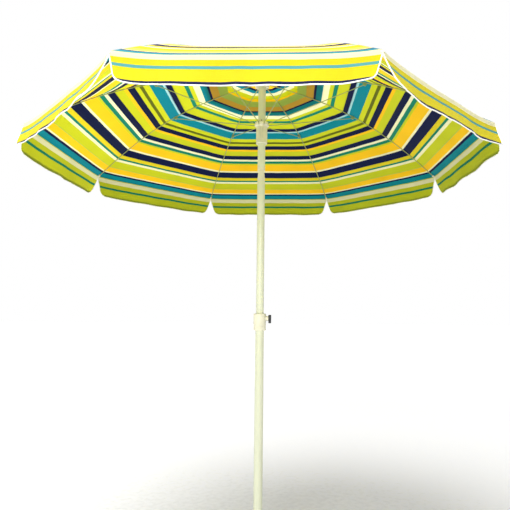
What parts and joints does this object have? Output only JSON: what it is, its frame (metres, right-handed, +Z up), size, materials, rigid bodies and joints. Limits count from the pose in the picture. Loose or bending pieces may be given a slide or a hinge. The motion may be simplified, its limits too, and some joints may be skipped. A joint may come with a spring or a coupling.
{
  "type": "beach umbrella",
  "caption": "Striped octagonal beach umbrella with a vented canopy, sliding runner, push-button tilt joint and a pole that telescopes from a spiked ground pole.",
  "frame": {"origin": "middle of the small flat on the ground spike's tip, on the pole's axis", "axes": "+Z up the pole, -Y towards the side with the tilt button and the runner's latch, +X completes a right-handed set"},
  "size_m": [1.7122, 1.7122, 2.16],
  "materials": {
    "white_pole_paint": "white powder coat, satin",
    "rib_paint": "thin pale enamel on wire, satin",
    "ivory_plastic": "moulded, fine grain, satin",
    "dark_plastic": "moulded, fine grain, matt",
    "bright_steel": "zinc plated",
    "striped_canvas": "woven polyester in lime, yellow, teal, navy and cream stripes, matt",
    "striped_cap_canvas": "the same striped cloth, on the vent's cap"
  },
  "bodies": {
    "ground_pole": {"lower_pole": "white_pole_paint", "ground_spike": "ivory_plastic", "clamp_collar": "ivory_plastic"},
    "clamp_screw": {"clamp_screw": "dark_plastic"},
    "mast_lower": {"mast_lower_tube": "white_pole_paint", "mast_foot_plug": "dark_plastic", "tilt_fork": "ivory_plastic", "tilt_pin": "bright_steel"},
    "tilt_button": {"tilt_button": "ivory_plastic"},
    "mast_upper": {"tilt_tongue": "ivory_plastic", "mast_upper_tube": "white_pole_paint", "runner_stop_pin": "dark_plastic", "hub": "ivory_plastic", "hub_ring_wire": "bright_steel", "finial": "ivory_plastic"},
    "runner": {"runner": "ivory_plastic"},
    "runner_latch": {"runner_latch": "ivory_plastic"},
    "rib_1": {"rib_1": "rib_paint", "rib_tip_1": "ivory_plastic", "canopy_1": "striped_canvas", "vent_cap_1": "striped_cap_canvas"},
    "stretcher_1": {"stretcher_1": "rib_paint"},
    "rib_2": {"rib_2": "rib_paint", "rib_tip_2": "ivory_plastic", "canopy_2": "striped_canvas", "vent_cap_2": "striped_cap_canvas"},
    "stretcher_2": {"stretcher_2": "rib_paint"},
    "rib_3": {"rib_3": "rib_paint", "rib_tip_3": "ivory_plastic", "canopy_3": "striped_canvas", "vent_cap_3": "striped_cap_canvas"},
    "stretcher_3": {"stretcher_3": "rib_paint"},
    "rib_4": {"rib_4": "rib_paint", "rib_tip_4": "ivory_plastic", "canopy_4": "striped_canvas", "vent_cap_4": "striped_cap_canvas"},
    "stretcher_4": {"stretcher_4": "rib_paint"},
    "rib_5": {"rib_5": "rib_paint", "rib_tip_5": "ivory_plastic", "canopy_5": "striped_canvas", "vent_cap_5": "striped_cap_canvas"},
    "stretcher_5": {"stretcher_5": "rib_paint"},
    "rib_6": {"rib_6": "rib_paint", "rib_tip_6": "ivory_plastic", "canopy_6": "striped_canvas", "vent_cap_6": "striped_cap_canvas"},
    "stretcher_6": {"stretcher_6": "rib_paint"},
    "rib_7": {"rib_7": "rib_paint", "rib_tip_7": "ivory_plastic", "canopy_7": "striped_canvas", "vent_cap_7": "striped_cap_canvas"},
    "stretcher_7": {"stretcher_7": "rib_paint"},
    "rib_8": {"rib_8": "rib_paint", "rib_tip_8": "ivory_plastic", "canopy_8": "striped_canvas", "vent_cap_8": "striped_cap_canvas"},
    "stretcher_8": {"stretcher_8": "rib_paint"}
  },
  "joints": [
    {"name": "height_slide", "type": "slide", "parent": "ground_pole", "child": "mast_lower", "axis": [0, 0, 1], "range_m": [0, 0.25]},
    {"name": "clamp_turn", "type": "hinge", "parent": "ground_pole", "child": "clamp_screw", "pos_m": [0.03, 0, 1.09], "axis": [1, 0, 0], "range_deg": [0, 360]},
    {"name": "tilt_hinge", "type": "hinge", "parent": "mast_lower", "child": "mast_upper", "pos_m": [0, 0, 1.705], "axis": [0, 1, 0], "range_deg": [0, 40]},
    {"name": "button_press", "type": "slide", "parent": "mast_lower", "child": "tilt_button", "axis": [0, 1, 0], "range_m": [0, 0.003], "stiffness_N_per_m": 400},
    {"name": "runner_slide", "type": "slide", "parent": "mast_upper", "child": "runner", "axis": [0, 0, 1], "range_m": [-0.66908, 0]},
    {"name": "latch_press", "type": "hinge", "parent": "runner", "child": "runner_latch", "pos_m": [0, -0.0201, 1.863], "axis": [-1, 0, 0], "range_deg": [0, 2.5], "stiffness_Nm_per_rad": 0.6},
    {"name": "rib_fold_1", "type": "hinge", "parent": "mast_upper", "child": "rib_1", "pos_m": [0.00918, -0.02217, 2.115], "axis": [0.9239, 0.3827, 0], "range_deg": [0, 66.1], "deforming": ["canopy_1", "vent_cap_1"]},
    {"name": "stretcher_fold_1", "type": "hinge", "parent": "rib_1", "child": "stretcher_1", "pos_m": [0.1735, -0.41888, 2.02524], "axis": [-0.9239, -0.3827, 0], "range_deg": [0, 131.2]},
    {"name": "rib_fold_2", "type": "hinge", "parent": "mast_upper", "child": "rib_2", "pos_m": [0.02217, -0.00918, 2.115], "axis": [0.3827, 0.9239, 0], "range_deg": [0, 66.1], "deforming": ["canopy_2", "vent_cap_2"]},
    {"name": "stretcher_fold_2", "type": "hinge", "parent": "rib_2", "child": "stretcher_2", "pos_m": [0.41888, -0.1735, 2.02524], "axis": [-0.3827, -0.9239, 0], "range_deg": [0, 131.2]},
    {"name": "rib_fold_3", "type": "hinge", "parent": "mast_upper", "child": "rib_3", "pos_m": [0.02217, 0.00918, 2.115], "axis": [-0.3827, 0.9239, 0], "range_deg": [0, 66.1], "deforming": ["canopy_3", "vent_cap_3"]},
    {"name": "stretcher_fold_3", "type": "hinge", "parent": "rib_3", "child": "stretcher_3", "pos_m": [0.41888, 0.1735, 2.02524], "axis": [0.3827, -0.9239, 0], "range_deg": [0, 131.2]},
    {"name": "rib_fold_4", "type": "hinge", "parent": "mast_upper", "child": "rib_4", "pos_m": [0.00918, 0.02217, 2.115], "axis": [-0.9239, 0.3827, 0], "range_deg": [0, 66.1], "deforming": ["canopy_4", "vent_cap_4"]},
    {"name": "stretcher_fold_4", "type": "hinge", "parent": "rib_4", "child": "stretcher_4", "pos_m": [0.1735, 0.41888, 2.02524], "axis": [0.9239, -0.3827, 0], "range_deg": [0, 131.2]},
    {"name": "rib_fold_5", "type": "hinge", "parent": "mast_upper", "child": "rib_5", "pos_m": [-0.00918, 0.02217, 2.115], "axis": [-0.9239, -0.3827, 0], "range_deg": [0, 66.1], "deforming": ["canopy_5", "vent_cap_5"]},
    {"name": "stretcher_fold_5", "type": "hinge", "parent": "rib_5", "child": "stretcher_5", "pos_m": [-0.1735, 0.41888, 2.02524], "axis": [0.9239, 0.3827, 0], "range_deg": [0, 131.2]},
    {"name": "rib_fold_6", "type": "hinge", "parent": "mast_upper", "child": "rib_6", "pos_m": [-0.02217, 0.00918, 2.115], "axis": [-0.3827, -0.9239, 0], "range_deg": [0, 66.1], "deforming": ["canopy_6", "vent_cap_6"]},
    {"name": "stretcher_fold_6", "type": "hinge", "parent": "rib_6", "child": "stretcher_6", "pos_m": [-0.41888, 0.1735, 2.02524], "axis": [0.3827, 0.9239, 0], "range_deg": [0, 131.2]},
    {"name": "rib_fold_7", "type": "hinge", "parent": "mast_upper", "child": "rib_7", "pos_m": [-0.02217, -0.00918, 2.115], "axis": [0.3827, -0.9239, 0], "range_deg": [0, 66.1], "deforming": ["canopy_7", "vent_cap_7"]},
    {"name": "stretcher_fold_7", "type": "hinge", "parent": "rib_7", "child": "stretcher_7", "pos_m": [-0.41888, -0.1735, 2.02524], "axis": [-0.3827, 0.9239, 0], "range_deg": [0, 131.2]},
    {"name": "rib_fold_8", "type": "hinge", "parent": "mast_upper", "child": "rib_8", "pos_m": [-0.00918, -0.02217, 2.115], "axis": [0.9239, -0.3827, 0], "range_deg": [0, 66.1], "deforming": ["canopy_8", "vent_cap_8"]},
    {"name": "stretcher_fold_8", "type": "hinge", "parent": "rib_8", "child": "stretcher_8", "pos_m": [-0.1735, -0.41888, 2.02524], "axis": [-0.9239, 0.3827, 0], "range_deg": [0, 131.2]}
  ],
  "couplings": [
    {"joint": "rib_fold_1", "follows": "runner_slide", "rad_per_m": -1.7216},
    {"joint": "stretcher_fold_1", "follows": "runner_slide", "rad_per_m": -3.4173},
    {"joint": "rib_fold_2", "follows": "runner_slide", "rad_per_m": -1.7216},
    {"joint": "stretcher_fold_2", "follows": "runner_slide", "rad_per_m": -3.4173},
    {"joint": "rib_fold_3", "follows": "runner_slide", "rad_per_m": -1.7216},
    {"joint": "stretcher_fold_3", "follows": "runner_slide", "rad_per_m": -3.4173},
    {"joint": "rib_fold_4", "follows": "runner_slide", "rad_per_m": -1.7216},
    {"joint": "stretcher_fold_4", "follows": "runner_slide", "rad_per_m": -3.4173},
    {"joint": "rib_fold_5", "follows": "runner_slide", "rad_per_m": -1.7216},
    {"joint": "stretcher_fold_5", "follows": "runner_slide", "rad_per_m": -3.4173},
    {"joint": "rib_fold_6", "follows": "runner_slide", "rad_per_m": -1.7216},
    {"joint": "stretcher_fold_6", "follows": "runner_slide", "rad_per_m": -3.4173},
    {"joint": "rib_fold_7", "follows": "runner_slide", "rad_per_m": -1.7216},
    {"joint": "stretcher_fold_7", "follows": "runner_slide", "rad_per_m": -3.4173},
    {"joint": "rib_fold_8", "follows": "runner_slide", "rad_per_m": -1.7216},
    {"joint": "stretcher_fold_8", "follows": "runner_slide", "rad_per_m": -3.4173}
  ]
}
